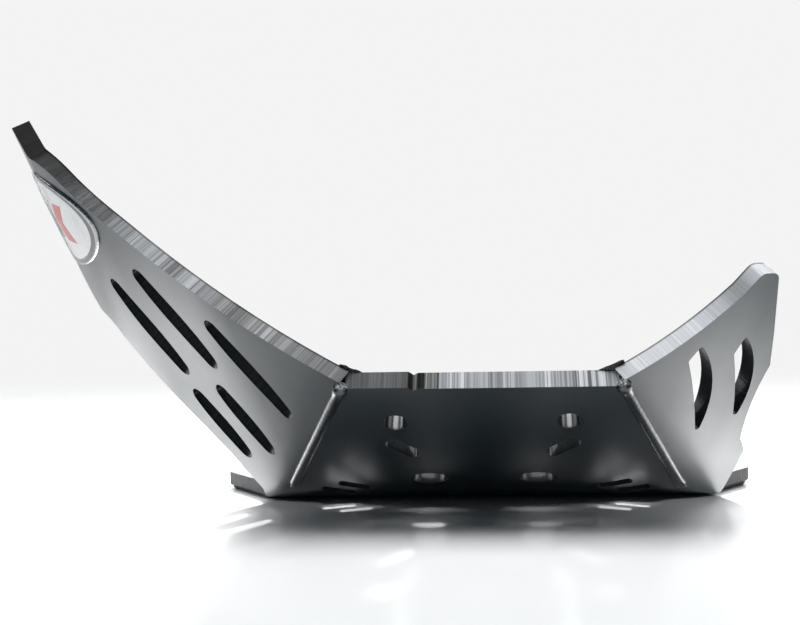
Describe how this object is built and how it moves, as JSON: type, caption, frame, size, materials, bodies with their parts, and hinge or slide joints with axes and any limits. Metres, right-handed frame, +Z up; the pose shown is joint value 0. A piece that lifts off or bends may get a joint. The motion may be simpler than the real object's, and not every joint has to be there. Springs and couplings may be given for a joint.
{
  "type": "motorcycle skid plate",
  "caption": "Thick black plastic skid plate folded from one sheet, with a flat base, an upturned front flap and slotted wings, its front corners welded.",
  "frame": {"origin": "middle of the four base bolt holes, on the underside of the base", "axes": "+Z up through the base, +Y from the front flap towards the rear wheel, +X to the right seen from the front"},
  "size_m": [0.3183, 0.3599, 0.1679],
  "materials": {
    "black_sheet": "satin moulded sheet faces with sawn, striped cut edges",
    "weld_plastic": "glossy melted bead",
    "badge_print": null
  },
  "bodies": {
    "root": {"skid_sheet": "black_sheet", "left_weld_bead": "weld_plastic", "right_weld_bead": "weld_plastic", "left_inner_weld": "weld_plastic", "right_inner_weld": "weld_plastic", "oval_badge": "badge_print"}
  },
  "joints": []
}
